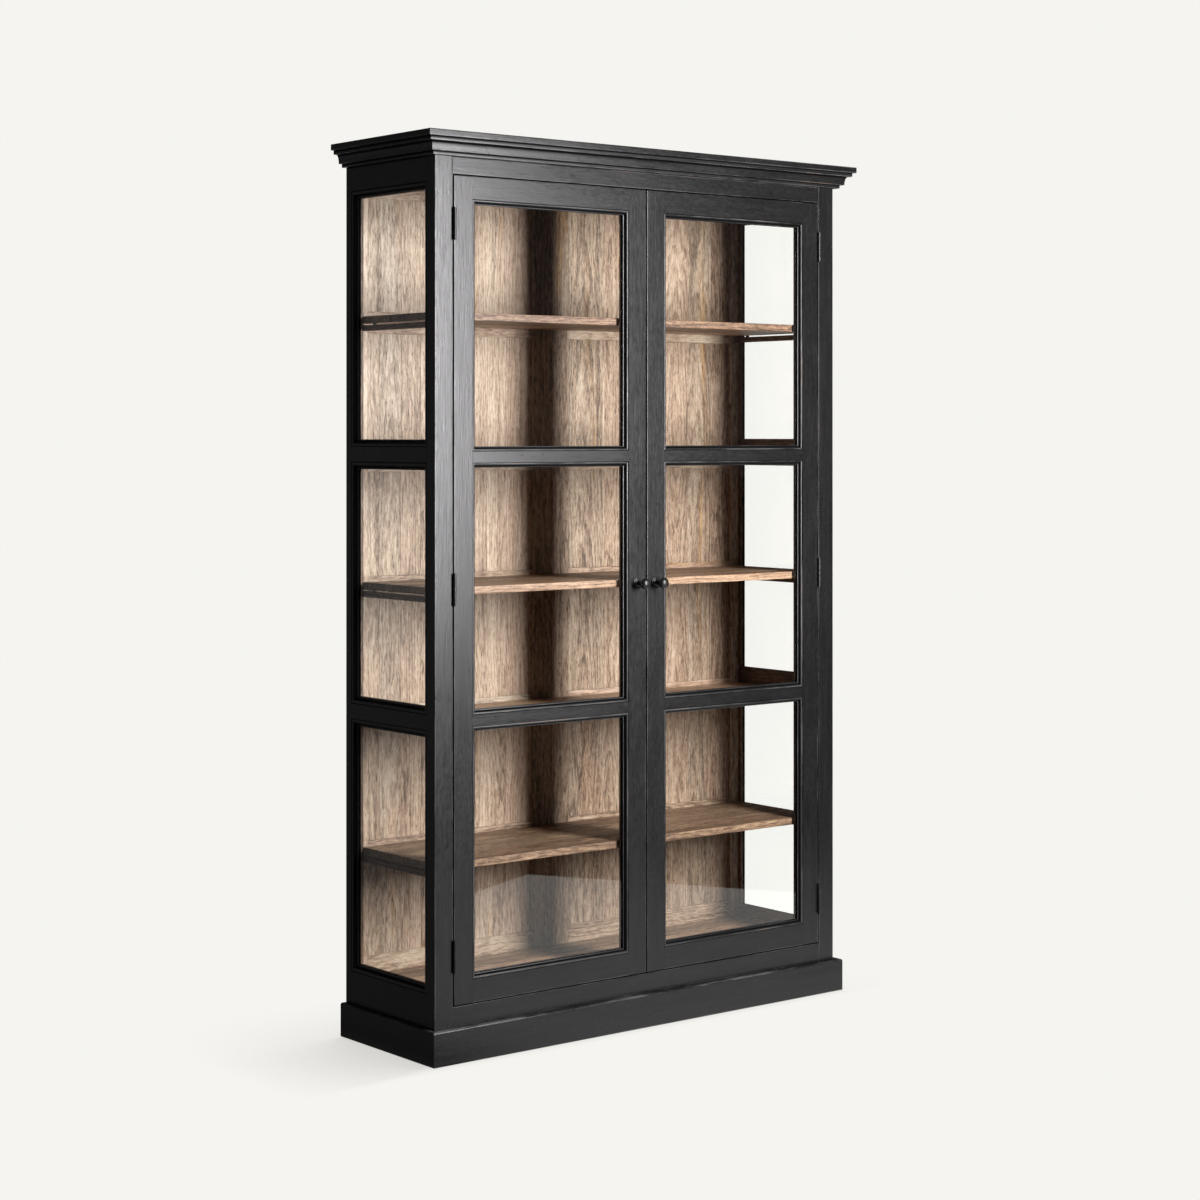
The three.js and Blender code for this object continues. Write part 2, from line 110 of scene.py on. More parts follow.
def box(node):
    low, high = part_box(node)
    return Vector(low), Vector(high)


# ------------------------------------------------------------------ shaders

class Shade:
    """A node material with short ways to add nodes."""

    def __init__(self, name):
        self.mat = bpy.data.materials.new(name)
        self.mat.use_nodes = True
        self.tree = self.mat.node_tree
        self.tree.nodes.clear()

    def add(self, kind, ins=None, **props):
        node = self.tree.nodes.new("ShaderNode" + kind)
        for key, value in props.items():
            setattr(node, key, value)
        for key, value in (ins or {}).items():
            self.put(node.inputs[key], value)
        return node

    def put(self, socket, value):
        if isinstance(value, bpy.types.NodeSocket):
            self.tree.links.new(value, socket)
        else:
            socket.default_value = value

    def math(self, op, a, b=0.0, c=0.0, clamp=False):
        node = self.add("Math", operation=op, use_clamp=clamp)
        for socket, value in zip(node.inputs, (a, b, c)):
            self.put(socket, value)
        return node.outputs[0]

    def sway(self, value, noise, amount, clamp=False):
        """The value, moved by the noise's distance from its middle times the amount."""
        return self.math("MULTIPLY_ADD", self.math("SUBTRACT", noise, 0.5), amount, value, clamp)

    def scaled(self, vector, factors):
        node = self.add("VectorMath", operation="MULTIPLY")
        self.put(node.inputs[0], vector)
        self.put(node.inputs[1], factors)
        return node.outputs[0]

    def noise(self, vector, scale=1.0, detail=3.0, rough=0.55, warp=0.0):
        ins = {"Vector": vector, "Scale": scale, "Detail": detail,
               "Roughness": rough, "Distortion": warp}
        return self.add("TexNoise", ins).outputs["Fac"]

    def streaks(self, grain, across, along, **noise):
        """Noise laid along the grain; across and along are its cells to the metre."""
        return self.noise(self.scaled(grain, (across, across, along)), **noise)

    def curve(self, value, low, high, to_low=0.0, to_high=1.0, smooth=True):
        node = self.add("MapRange")
        node.interpolation_type = "SMOOTHSTEP" if smooth else "LINEAR"
        for socket, entry in zip(node.inputs, (value, low, high, to_low, to_high)):
            self.put(socket, entry)
        return node.outputs[0]

    def mix(self, factor, a, b, blend="MIX"):
        node = self.add("Mix", data_type="RGBA", blend_type=blend)
        self.put(node.inputs[0], factor)
        for socket, value in ((node.inputs[6], a), (node.inputs[7], b)):
            if not isinstance(value, bpy.types.NodeSocket):
                value = (*value, 1.0) if len(value) == 3 else value
            self.put(socket, value)
        return node.outputs[2]

    def ramp(self, value, stops):
        node = self.add("ValToRGB")
        elements = node.color_ramp.elements
        while len(elements) < len(stops):
            elements.new(0.5)
        for element, (at, colour) in zip(elements, stops):
            element.position = at
            element.color = (*colour, 1.0)
        self.put(node.inputs[0], value)
        return node.outputs[0]

    def attribute(self, name):
        return self.add("Attribute", attribute_name=name)

    def bump(self, height, strength, distance):
        ins = {"Height": height, "Strength": strength, "Distance": distance}
        return self.add("Bump", ins).outputs[0]

    def finish(self, colour, rough, normal=None, tint=None, **fixed):
        shader = self.add("BsdfPrincipled")
        self.put(shader.inputs["Base Color"], colour)
        self.put(shader.inputs["Roughness"], rough)
        for key, value in fixed.items():
            shader.inputs[key.replace("_", " ")].default_value = value
        if normal is not None:
            self.put(shader.inputs["Normal"], normal)
        if tint is not None:
            self.put(shader.inputs["Specular Tint"], tint)
        out = self.add("OutputMaterial")
        self.tree.links.new(shader.outputs[0], out.inputs[0])
        return self.mat


# The tint of a board by its hue: pinkish, tan, yellowish, greyish and golden.
TINTS = [
    (0.0, (1.0, 0.87, 0.82)),
    (0.3, (1.0, 0.93, 0.88)),
    (0.55, (1.0, 0.94, 0.88)),
    (0.75, (0.97, 0.945, 0.87)),
    (0.9, (0.93, 0.95, 0.94)),
    (1.0, (1.0, 0.86, 0.74)),
]


def wood_nodes(shade, stops, contrast):
    """Colour, height and level of brown wood, from the grain, ring and board attributes."""
    grain = shade.attribute("grain").outputs["Vector"]
    board = shade.attribute("board").outputs["Vector"]
    tone, hue, seed = shade.add("SeparateXYZ", {0: board}).outputs
    ring = shade.attribute("ring").outputs["Vector"]
    across, deep, along = shade.add("SeparateXYZ", {0: ring}).outputs

    # Growth rings: circles round a pith that wanders under the board.
    drift = {"X": shade.math("MULTIPLY", along, 0.9), "Y": shade.math("MULTIPLY", seed, 70.0)}
    slow = shade.noise(shade.add("CombineXYZ", drift).outputs[0], detail=1.5)
    deep = shade.sway(deep, slow, 0.16)
    radius = shade.math("SQRT", shade.math("ADD", shade.math("MULTIPLY", across, across),
                                           shade.math("MULTIPLY", deep, deep)))
    wobble = shade.streaks(grain, 17.0, 3.2, rough=0.6)
    radius = shade.sway(radius, wobble, 0.034)
    phase = shade.math("FRACT", shade.math("MULTIPLY", radius, 125.0))
    lines = shade.math("MULTIPLY", shade.curve(phase, 0.35, 0.86),
                       shade.curve(phase, 0.9, 1.0, 1.0, 0.0))

    # Broad streaks, clouds, flecks, fibres and pores.
    streak = shade.streaks(grain, 30.0, 1.1, detail=4.0, rough=0.6, warp=0.2)
    cloud = shade.streaks(grain, 11.0, 3.6, rough=0.6)
    fleck = shade.streaks(grain, 235.0, 46.0, rough=0.7)
    fibre = shade.streaks(grain, 620.0, 12.0, rough=0.6)
    pores = shade.curve(shade.streaks(grain, 430.0, 60.0, detail=2.0, rough=0.5), 0.585, 0.67)

    level = 0.52
    for noise, amount in ((streak, 1.15), (cloud, 0.75), (fleck, 1.5), (fibre, 0.9)):
        level = shade.sway(level, noise, amount * contrast)
    level = shade.sway(level, tone, 0.30)
    level = shade.math("MULTIPLY_ADD", lines, -0.26 * contrast, level)
    level = shade.math("MULTIPLY_ADD", pores, -0.28, level)
    colour = shade.ramp(level, stops)

    # Each board leans to its own tint, which also wanders along its streaks.
    wander = shade.streaks(grain, 14.0, 0.8, detail=2.0)
    pick = shade.sway(hue, wander, 0.7, clamp=True)
    colour = shade.mix(0.75, colour, shade.ramp(pick, TINTS), "MULTIPLY")

    # Golden streaks, and a few thin dark lines that run with the grain.
    gold = shade.curve(shade.streaks(grain, 16.0, 1.0, detail=5.0, rough=0.62), 0.60, 0.68)
    colour = shade.mix(shade.math("MULTIPLY", gold, 0.75), colour, (1.0, 0.78, 0.46), "MULTIPLY")
    vein = shade.streaks(grain, 13.0, 1.1, detail=5.0, rough=0.62, warp=0.4)
    near = shade.math("ABSOLUTE", shade.math("SUBTRACT", vein, 0.5))
    thin = shade.curve(near, 0.0, 0.010, 1.0, 0.0)
    where = shade.curve(shade.streaks(grain, 3.0, 1.4, detail=1.0), 0.53, 0.62)
    colour = shade.mix(shade.math("MULTIPLY", thin, shade.math("MULTIPLY", where, 0.6)),
                       colour, (0.10, 0.07, 0.05))

    height = shade.math("MULTIPLY_ADD", pores, -1.0, shade.math("MULTIPLY", fibre, 0.5))
    return colour, height, level


def wood(name, stops, rough, contrast):
    shade = Shade(name)
    colour, height, level = wood_nodes(shade, stops, contrast)
    gloss = shade.curve(level, 0.2, 0.9, rough + 0.08, rough - 0.05, smooth=False)
    normal = shade.bump(height, 0.35, 0.0004)
    return shade.finish(colour, gloss, normal, Specular_IOR_Level=0.5)


def black_paint():
    """Satin black over open grain, rubbed through to wood along the edges.

    The wear attribute is 1 on an edge, 0 on a flat and below 0 in grooves and gaps, where it paints
    shade.
    """
    shade = Shade("black_paint")
    grain = shade.attribute("grain").outputs["Vector"]
    wear_and_shade = shade.attribute("wear_and_shade").outputs["Fac"]

    fibre = shade.streaks(grain, 330.0, 12.0, rough=0.6)
    swell = shade.streaks(grain, 55.0, 5.0)
    mottle = shade.streaks(grain, 150.0, 62.0, rough=0.65)
    speck = shade.streaks(grain, 330.0, 190.0, detail=2.0)
    nick = shade.streaks(grain, 150.0, 24.0, rough=0.6)
    patch = shade.streaks(grain, 9.0, 4.5, rough=0.65)

    # The edge mask breaks up: long worn runs, short nicks and clean lengths.
    reach = shade.sway(shade.sway(wear_and_shade, nick, 1.2), patch, 2.6)
    worn = shade.math("MULTIPLY", shade.curve(reach, 1.04, 1.22), shade.curve(wear_and_shade, 0.15, 0.5))
    rubbed_and_highlight = shade.math("MULTIPLY", shade.curve(reach, 0.35, 1.0), shade.curve(wear_and_shade, 0.1, 0.6))

    # Rare small chips on the flats.
    chip = shade.streaks(grain, 75.0, 26.0, detail=4.0, rough=0.7)
    chips = shade.math("MULTIPLY", shade.curve(chip, 0.745, 0.775), 0.5)
    worn = shade.math("MAXIMUM", worn, chips)

    paint = shade.ramp(swell, [(0.25, (0.0055, 0.0053, 0.0056)), (0.8, (0.012, 0.0116, 0.012))])
    paint = shade.mix(shade.curve(speck, 0.58, 0.76, 0.0, 0.3), paint, (0.05, 0.049, 0.049))
    # Along the edges a lighter grey: rubbed paint, and a painted highlight on the arrises.
    paint = shade.mix(shade.math("MULTIPLY", rubbed_and_highlight, 0.6), paint, (0.14, 0.137, 0.139))
    bare = shade.ramp(fibre, [(0.3, (0.06, 0.030, 0.016)), (0.7, (0.30, 0.165, 0.09))])
    colour = shade.mix(shade.math("MULTIPLY", worn, 0.6), paint, bare)
    # Painted shade: where the wear is below 0 the paint turns near black and rougher.
    groove_shade = shade.curve(wear_and_shade, -0.9, 0.0, 1.0, 0.0)
    colour = shade.mix(groove_shade, colour, (0.0025, 0.0025, 0.0025))

    rough = shade.curve(fibre, 0.25, 0.75, 0.30, 0.39, smooth=False)
    rough = shade.sway(shade.sway(rough, patch, 0.14), mottle, 0.26)
    rough = shade.math("MULTIPLY_ADD", groove_shade, 0.5, rough)
    rough = shade.math("MULTIPLY_ADD", worn, 0.2, rough, clamp=True)
    height = shade.math("MULTIPLY_ADD", fibre, 0.9, shade.math("MULTIPLY", worn, -1.2))
    height = shade.math("MULTIPLY_ADD", swell, 0.8, height)
    height = shade.math("MULTIPLY_ADD", mottle, 0.7, height)
    normal = shade.bump(height, 0.45, 0.0006)
    # The painted shade also dims the reflection in grooves and gaps.
    tint = shade.mix(groove_shade, (1.0, 0.98, 1.0), (0.12, 0.12, 0.12))
    return shade.finish(colour, rough, normal, tint, Specular_IOR_Level=0.5)


def clear_glass():
    """Float glass: see-through, with the mirror of its surface on top."""
    shade = Shade("glass")
    clear = shade.add("BsdfTransparent", {"Color": (0.993, 0.998, 0.996, 1.0)})
    ripple = shade.noise(shade.add("TexCoord").outputs["Object"], scale=3.0, detail=1.0)
    normal = shade.bump(ripple, 0.03, 0.002)
    # Seen from inside the pane the ratio turns over, so both faces mirror alike.
    inside = shade.add("NewGeometry").outputs["Backfacing"]
    ratio = shade.curve(inside, 0.0, 1.0, 1.5, 1 / 1.5, smooth=False)
    edge = shade.add("Fresnel", {"IOR": ratio}).outputs[0]
    gloss = shade.add("BsdfGlossy", {"Roughness": 0.01, "Color": edge, "Normal": normal})
    both = shade.add("AddShader", {0: clear.outputs[0], 1: gloss.outputs[0]})
    out = shade.add("OutputMaterial")
    shade.tree.links.new(both.outputs[0], out.inputs[0])
    return shade.mat


def metal(name, dark, light, rough, metallic):
    shade = Shade(name)
    spot = shade.add("TexCoord").outputs["Object"]
    cloud = shade.noise(spot, scale=60.0, detail=4.0, rough=0.65)
    fine = shade.noise(spot, scale=900.0, detail=2.0)
    colour = shade.ramp(cloud, [(0.3, dark), (0.75, light)])
    gloss = shade.curve(cloud, 0.3, 0.7, rough - 0.06, rough + 0.1, smooth=False)
    normal = shade.bump(fine, 0.15, 0.0002)
    return shade.finish(colour, gloss, normal, Metallic=metallic)


def plastic(name, colour):
    shade = Shade(name)
    spot = shade.add("TexCoord").outputs["Object"]
    fine = shade.noise(spot, scale=1400.0, detail=2.0)
    base = shade.ramp(fine, [(0.3, tuple(0.85 * c for c in colour)), (0.7, colour)])
    normal = shade.bump(fine, 0.2, 0.0002)
    return shade.finish(base, shade.curve(fine, 0.2, 0.8, 0.45, 0.6), normal)


MATS = {
    "black_paint": black_paint(),
    "back_wood": wood("back_wood", [
        (0.0, (0.080, 0.048, 0.031)), (0.22, (0.210, 0.138, 0.092)),
        (0.48, (0.41, 0.298, 0.217)), (0.72, (0.56, 0.448, 0.352)),
        (1.0, (0.70, 0.595, 0.49))], 0.47, 0.70),
    "shelf_wood": wood("shelf_wood", [
        (0.0, (0.06, 0.034, 0.02)), (0.3, (0.20, 0.12, 0.075)),
        (0.6, (0.40, 0.27, 0.175)), (1.0, (0.62, 0.46, 0.33))], 0.45, 0.8),
    # A much darker copy of the wood for the case's inner faces, top board and cleats: the darkening
    # is painted shade.
    "case_wood": wood("case_wood", [
        (0.0, (0.035, 0.02, 0.012)), (0.35, (0.11, 0.064, 0.038)),
        (0.7, (0.23, 0.145, 0.09)), (1.0, (0.36, 0.24, 0.16))], 0.5, 0.9),
    "glass": clear_glass(),
    "black_iron": metal("black_iron", (0.008, 0.008, 0.008), (0.018, 0.017, 0.017), 0.31, 0.0),
    "zinc": metal("zinc", (0.42, 0.42, 0.42), (0.62, 0.62, 0.61), 0.3, 1.0),
    "catch_plastic": plastic("catch_plastic", (0.055, 0.03, 0.018)),
}


# ------------------------------------------------------------------ meshes

AXES = {"x": 0, "y": 1, "z": 2}


def new_board(tones=(0.0, 1.0)):
    """Tone, hue and seed of one board, and where its grain is cut from."""
    offset = Vector((RNG.uniform(0, 40), RNG.uniform(0, 40), RNG.uniform(0, 40)))
    return (RNG.uniform(*tones), RNG.random(), RNG.random()), offset


class Part:
    """A mesh being built, with grain, board, and wear and painted shade carried on its points."""

    def __init__(self):
        self.points = []
        self.faces = []
        self.skins = []
        self.grain = []
        self.ring = []
        self.board = []
        self.wear_and_shade = []

    def point(self, place, grain, board, wear_and_shade, ring=None):
        self.points.append(tuple(place))
        self.grain.append(tuple(grain))
        self.ring.append(tuple(ring or grain))
        self.board.append(board)
        self.wear_and_shade.append(wear_and_shade)
        return len(self.points) - 1

    def face(self, corners, skin=0):
        self.faces.append(corners)
        self.skins.append(skin)

    def block(self, low, high, along, radius, skin=None, place=None,
              tight=(), dark=(), tones=(0.0, 1.0)):
        """A board with rounded edges and a loop inside each edge, worn along its length.

        skin(axis, end) gives the material of each side, end being 0 or 1. The
        sides in tight, given the same way, butt against another board, and the
        sides in dark face a narrow gap and get painted shade.
        """
        low, high = Vector(low), Vector(high)
        board, offset = new_board(tones)
        axis = AXES[along]
        cross = [a for a in range(3) if a != axis]
        wide, thin = sorted(cross, key=lambda a: low[a] - high[a])
        pith_across = (low[wide] + high[wide]) / 2 + RNG.uniform(-0.6, 0.6) * (high - low)[wide]
        pith_deep = low[thin] - RNG.uniform(10, 60) * MM
        steps = []
        for a in range(3):
            size = high[a] - low[a]
            r0, r1 = (min(TIGHT if (a, end) in tight else radius, size * 0.24)
                      for end in (0, 1))
            s = min(SUPPORT, size * 0.24)
            steps.append([low[a], low[a] + r0, low[a] + r0 + s,
                          high[a] - r1 - s, high[a] - r1, high[a]])
        edge = (1.0, 0.75, 0.0, 0.0, 0.75, 1.0)     # wear at each step
        made = {}

        def corner(key):
            if key in made:
                return made[key]
            at = Vector(steps[a][key[a]] for a in range(3))
            inner = Vector(min(max(at[a], steps[a][1]), steps[a][4]) for a in range(3))
            out = at - inner
            unit = Vector(math.copysign(1.0, c) if abs(c) > 1e-9 else 0.0 for c in out)
            if unit.length > 1.0:
                at = inner + out / unit.length
            wear_and_shade = 0.0
            for side, a in (cross, cross[::-1]):
                butts = (a, int(key[a] > 2)) in tight or (side, key[side] // 5) in tight
                if key[side] in (0, 5) and not butts:
                    wear_and_shade = max(wear_and_shade, edge[key[a]])
            # Points on a side in dark get a wear of -1, which paints shade on them.
            if any((a, key[a] // 5) in dark for a in range(3) if key[a] in (0, 5)):
                wear_and_shade = -1.0
            grain = Vector((at[cross[0]], at[cross[1]], at[axis])) + offset
            ring = Vector((at[wide] - pith_across, at[thin] - pith_deep, at[axis]))
            made[key] = self.point(place(at) if place else at, grain, board, wear_and_shade, ring)
            return made[key]

        for a in range(3):
            b, c = [k for k in range(3) if k != a]
            for end, value in ((0, 0), (1, 5)):
                for i in range(5):
                    for j in range(5):
                        keys = []
                        for di, dj in ((0, 0), (1, 0), (1, 1), (0, 1)):
                            key = [0, 0, 0]
                            key[a], key[b], key[c] = value, i + di, j + dj
                            keys.append(tuple(key))
                        self.face([corner(k) for k in keys], skin(a, end) if skin else 0)

    def loft(self, rings, wear_and_shade, lengths, skins=None):
        """A closed tube of rings of points; lengths is each ring's place along the grain."""
        board, offset = new_board()
        count = len(rings[0])
        around = [0.0]
        for k in range(1, count):
            around.append(around[-1] + (Vector(rings[0][k]) - Vector(rings[0][k - 1])).length)
        ids = []
        for ring, length in zip(rings, lengths):
            row = []
            for k, place in enumerate(ring):
                grain = Vector((around[k], 0.0, length)) + offset
                row.append(self.point(place, grain, board, wear_and_shade[k]))
            ids.append(row)
        for one, two in zip(ids, ids[1:]):
            for k in range(count):
                n = (k + 1) % count
                self.face([one[k], one[n], two[n], two[k]], skins[k] if skins else 0)
        self.face(list(reversed(ids[0])))
        self.face(list(ids[-1]))

    def turned(self, profile, place, segments):
        """A turned body: profile of (radius, along) from pole to pole."""
        board, offset = new_board()
        rows = []
        for radius, along in profile:
            if radius < 1e-7:
                at = Vector((0.0, 0.0, along))
                rows.append([self.point(place(at), at + offset, board, 0.0)])
                continue
            row = []
            for k in range(segments):
                angle = 2 * math.pi * k / segments
                at = Vector((radius * math.cos(angle), radius * math.sin(angle), along))
                row.append(self.point(place(at), at + offset, board, 0.0))
            rows.append(row)
        for one, two in zip(rows, rows[1:]):
            for k in range(segments):
                n = (k + 1) % segments
                ring = [one[k % len(one)], one[n % len(one)], two[n % len(two)], two[k % len(two)]]
                unique = list(dict.fromkeys(ring))
                if len(unique) > 2:
                    self.face(unique)

    def build(self, name, body, slots, nodes, angle=50):
        mesh = bpy.data.meshes.new(name)
        mesh.from_pydata(self.points, [], self.faces)
        for label, kind, values in (("grain", "FLOAT_VECTOR", self.grain),
                                    ("ring", "FLOAT_VECTOR", self.ring),
                                    ("board", "FLOAT_VECTOR", self.board),
                                    ("wear_and_shade", "FLOAT", self.wear_and_shade)):
            layer = mesh.attributes.new(label, kind, "POINT")
            key = "value" if kind == "FLOAT" else "vector"
            flat = values if kind == "FLOAT" else [c for v in values for c in v]
            layer.data.foreach_set(key, flat)
        for slot in slots:
            mesh.materials.append(MATS[slot])
        mesh.polygons.foreach_set("material_index", self.skins)
        work = bmesh.new()
        work.from_mesh(mesh)
        bmesh.ops.recalc_face_normals(work, faces=work.faces)
        work.to_mesh(mesh)
        work.free()
        mesh.polygons.foreach_set("use_smooth", [True] * len(mesh.polygons))
        mesh.set_sharp_from_angle(angle=math.radians(angle))
        piece = bpy.data.objects.new(name, mesh)
        bpy.context.scene.collection.objects.link(piece)
        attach(piece, body)
        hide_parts(*nodes)


def soften(outline, radius):
    """Rounds the corners of a closed outline.

    Returns the points and their wear: one on an outer corner, none on flats
    and in inner corners. The outline runs counter-clockwise.
    """
    points, wear_and_shade = [], []
    count = len(outline)
    for k in range(count):
        before = Vector(outline[k - 1])
        at = Vector(outline[k])
        after = Vector(outline[(k + 1) % count])
        come, go = at - before, after - at
        turn = come.x * go.y - come.y * go.x
        bend = turn / max(come.length * go.length, 1e-12)
        if bend < 0.3:
            points.append(at)
            wear_and_shade.append(0.0)
            continue
        r = min(radius, 0.3 * come.length, 0.3 * go.length)
        s_in = min(SUPPORT, 0.3 * come.length)
        s_out = min(SUPPORT, 0.3 * go.length)
        back, on = come.normalized(), go.normalized()
        mid = at + (on - back).normalized() * r * ARC_MIDDLE
        points += [at - back * (r + s_in), at - back * r, mid, at + on * r, at + on * (r + s_out)]
        wear_and_shade += [0.0, 0.75, 1.0, 0.75, 0.0]
    return points, wear_and_shade


def rear_skin(axis, end):
    """The second material on a board's far side, the first on its others."""
    return 1 if (axis, end) == (1, 1) else 0


# ------------------------------------------------------------------ frames

# (distance from the frame's face edge, depth below the face, wear) of the moulding
# A wear below 0 is painted shade in the moulding's hollows; above 0 it is rubbed paint with a
# painted highlight.
BEAD = [(0, 1.9, -1), (0.8, 1.9, -1), (1.1, 0.6, 0), (1.7, 0.3, 0.6), (2.7, 0.2, 0.8),
        (3.9, 0.35, 0.5), (5.0, 0.75, 0), (6.1, 1.5, -0.4), (7.3, 3.1, -0.9), (8.3, 5.2, -1),
        (9.0, 7.8, -1), (9.3, 8.1, -0.5), (10.9, 8.4, 0.3), (11.6, 8.6, 0.6), (11.9, 9.1, 0),
        (12, 9.8, -1)]


def moulding_outline(width):
    """(offset from the glass line, depth below the face) round the front moulding."""
    grow = width / DOOR_MOULD
    outline = [(width - a * MM * grow, d * MM) for a, d, _ in BEAD]
    # The flank down to the glass line gets a wear of -1: painted shade.
    outline += [(0.0, GLASS_DEPTH), (width, GLASS_DEPTH)]
    return outline, [w for _, _, w in BEAD] + [-1.0, 0.0]


def ring_of_strips(part, outline, wear_and_shade, pane, place, skins=None):
    """Four mitred strips round a pane; each is a closed body of its own."""
    a0, a1, z0, z1 = pane
    corners = [((a0, -1), (z0, -1)), ((a1, 1), (z0, -1)), ((a1, 1), (z1, 1)), ((a0, -1), (z1, 1))]
    for k in range(4):
        rings = []
        lengths = []
        for (a, da), (z, dz) in (corners[k], corners[(k + 1) % 4]):
            rings.append([place(Vector((a + da * o, z + dz * o, d))) for o, d in outline])
            lengths.append(a if k % 2 == 0 else z)
        part.loft(rings, wear_and_shade, lengths, skins=skins)


def glazed_frame(prefix, body, node, panes, extent, mould, thick, place, inside, post=None):
    """A frame of two stiles and four rails round three panes.

    In the frame's own terms a runs across, z up and d into the thickness. With
    inside, its back is bare wood; post makes the stile at the low end of a.
    """
    a0, a1, z0, z1 = extent
    in0, in1 = panes[0][0] - mould, panes[0][1] + mould

    def swap(vector):
        return place(Vector((vector.x, vector.z, vector.y)))

    skin = rear_skin if inside else None
    stiles = Part()
    if post:
        post(stiles)
        stiles.block((in1, 0, z0), (a1, thick, z1), "z", 0.7 * MM, skin, swap, tight={(0, 0)})
    else:
        # The stiles' sides that face a gap get painted shade.
        gaps = {(0, 0), (0, 1), (2, 0), (2, 1)}
        stiles.block((a0, 0, z0), (in0, thick, z1), "z", 0.7 * MM, skin, swap,
                     tight={(0, 1)}, dark=gaps)
        stiles.block((in1, 0, z0), (a1, thick, z1), "z", 0.7 * MM, skin, swap,
                     tight={(0, 0)}, dark=gaps)
    slots = ("black_paint", "case_wood") if inside else ("black_paint",)
    stiles.build(prefix + "_stiles", body, slots, (node,), 50)

    rails = Part()
    edges = [z0]
    for pane in panes:
        edges += [pane[2] - mould, pane[3] + mould]
    edges.append(z1)
    # Each rail's top and bottom get painted shade.
    for low, high in zip(edges[::2], edges[1::2]):
        ends = {(0, 0), (0, 1)} | ({(2, 0)} if low > z0 else set())
        rails.block((in0, 0, low), (in1, thick, high), "x", 0.9 * MM, skin, swap,
                    tight=ends | ({(2, 1)} if high < z1 else set()),
                    dark={(2, 0), (2, 1)})
    rails.build(prefix + "_rails", body, slots, (node,), 50)

    front = Part()
    outline, wear_and_shade = moulding_outline(mould)
    for pane in panes:
        ring_of_strips(front, outline, wear_and_shade, pane, place)
    front.build(prefix + "_mouldings", body, ("black_paint",), (node,), 40)

    back = Part()
    deep = GLASS_DEPTH + GLASS_T
    outline = [(0.0, deep), (0.0, thick - 1.5 * MM), (1.5 * MM, thick), (mould, thick),
               (mould, deep)]
    for pane in panes:
        ring_of_strips(back, outline, [0.0, 0.3, 0.5, 0.0, 0.0], pane, place)
    back.build(prefix + "_glazing_beads", body, slots[-1:], (node,), 40)


def add_board(node, suffix, slots, along, radius, body=CASE):
    """A piece that is one board filling its node's box."""
    low, high = box(node)
    part = Part()
    part.block(low, high, along, radius)
    part.build(node + suffix, body, slots, (node,))


def pane_of(node, across):
    low, high = box(node)
    return (low[across] + LIP, high[across] - LIP, low.z + LIP, high.z - LIP)


def add_sides():
    for name, side in SIDES:
        node = "side_frame_" + name
        low, high = box(node)
        outer = side * max(abs(low.x), abs(high.x))
        post_x = side * min(abs(low.x), abs(high.x))
        panes = [pane_of(f"side_glass_{name}_{level}", 1) for level in LEVELS]
        face_back = box("face_rail_top")[1].y

        def place(vector, side=side, outer=outer):
            return Vector((outer - side * vector.z, vector.x, vector.y))

        def post(part, side=side, outer=outer, post_x=post_x, low=low, high=high, panes=panes):
            # Corner post: an L of the face stile and the side stile in one outline.
            reach = panes[0][0] - SIDE_MOULD
            deep = outer - side * SIDE_INNER
            outline = [(outer, low.y), (post_x, low.y), (post_x, face_back), (deep, face_back),
                       (deep, reach), (outer, reach)]
            if side > 0:
                outline = [outline[0]] + outline[:0:-1]
            points, wear_and_shade = soften(outline, 1.1 * MM)
            # The rounding beside the door gap gets a wear of -1: painted shade.
            for k, at in enumerate(points):
                if abs(at.x - post_x) < 0.8 * MM and at.y > low.y + 0.1 * MM:
                    wear_and_shade[k] = -1.0
            skins = []
            for k, at in enumerate(points):
                after = points[(k + 1) % len(points)]
                mid = (at + after) / 2
                inward = abs(mid.x) < abs(outer) - 1 * MM and mid.y > low.y + 1 * MM
                edge = abs(abs(mid.x) - abs(post_x)) < 1.2 * MM
                skins.append(1 if inward and not edge and mid.y < reach - 1.2 * MM else 0)
            rings = [[Vector((p.x, p.y, z)) for p in points] for z in (low.z, high.z)]
            part.loft(rings, wear_and_shade, (low.z, high.z), skins=skins)

        extent = (low.y, high.y, low.z, high.z)
        glazed_frame("side_" + name, CASE, node, panes, extent, SIDE_MOULD, SIDE_INNER, place,
                     inside=True, post=post)
        for level in LEVELS:
            add_board(f"side_glass_{name}_{level}", "_pane", ("glass",), "z", 0.4 * MM)


def add_doors():
    for name, _ in SIDES:
        node = "door_frame_" + name
        body = "door_" + name
        low, high = box(node)
        panes = [pane_of(f"door_glass_{name}_{level}", 0) for level in LEVELS]

        def place(vector, face=low.y):
            return Vector((vector.x, face + vector.z, vector.y))

        extent = (low.x, high.x, low.z, high.z)
        glazed_frame("door_" + name, body, node, panes, extent, DOOR_MOULD,
                     high.y - low.y, place, inside=False)
        for level in LEVELS:
            add_board(f"door_glass_{name}_{level}", "_pane", ("glass",), "z", 0.4 * MM, body)


# ------------------------------------------------------------------ case

def mitred(part, outline, wear_and_shade, ends):
    """A straight moulding: ends are two functions from (out, z) to a place."""
    rings = [[end(p.x, p.y) for p in outline] for end in ends]
    first = rings[0][0]
    last = rings[1][0]
    length = (Vector(last) - Vector(first)).length
    part.loft(rings, wear_and_shade, (0.0, length))


